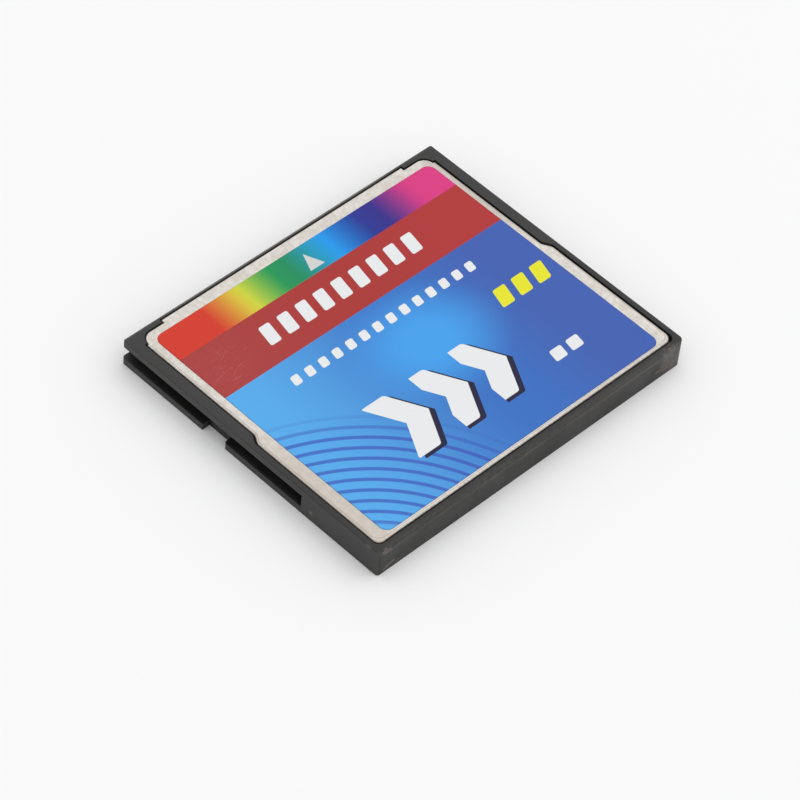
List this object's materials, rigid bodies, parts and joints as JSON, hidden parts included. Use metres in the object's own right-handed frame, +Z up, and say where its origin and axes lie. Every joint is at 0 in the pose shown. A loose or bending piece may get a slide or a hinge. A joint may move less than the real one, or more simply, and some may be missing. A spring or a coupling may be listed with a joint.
{
  "type": "memory card",
  "caption": "Flat flash memory card with a black moulded frame, keying grooves in both sides, steel covers, a printed label and a two-row socket along one edge.",
  "frame": {"origin": "centre of the rectangle under the card, on the plane it lies on", "axes": "+X across the card in the reading direction of the label, from the side with the wide groove to the side with the narrow groove; +Y towards the connector edge, the way the card is pushed in; +Z up, out of the label"},
  "size_m": [0.0428, 0.0364, 0.0033],
  "materials": {
    "frame_plastic": "fine moulded grain, satin",
    "cover_steel": "rolled stainless sheet, softly mottled",
    "label_print": "printed film, semi-gloss",
    "connector_plastic": "glass-filled moulding",
    "contact_metal": "gold-plated strip",
    "board_laminate": "solder mask",
    "chip_epoxy": "moulded epoxy",
    "lead_metal": "tin-plated",
    "ceramic": "fired ceramic",
    "lid_metal": "plated lid",
    "capacitor_body": "fired ceramic with tinned ends",
    "resistor_body": "glazed, with tinned ends",
    "film": "amber insulating film"
  },
  "bodies": {
    "root": {"frame": "frame_plastic", "bottom_cover": "cover_steel", "lower_film": "film", "connector_body": "connector_plastic", "upper_contacts": "contact_metal", "lower_contacts": "contact_metal", "circuit_board": "board_laminate", "controller_body": "chip_epoxy", "controller_leads": "lead_metal", "upper_flash_body": "chip_epoxy", "upper_flash_leads": "lead_metal", "lower_flash_body": "chip_epoxy", "lower_flash_leads": "lead_metal", "oscillator_base": "ceramic", "oscillator_lid": "lid_metal", "regulator_body": "chip_epoxy", "regulator_leads": "lead_metal", "bulk_capacitors": "capacitor_body", "small_capacitors": "capacitor_body", "resistors": "resistor_body", "resistor_arrays": "resistor_body", "upper_film": "film", "top_cover": "cover_steel", "front_label": "label_print"}
  },
  "joints": []
}
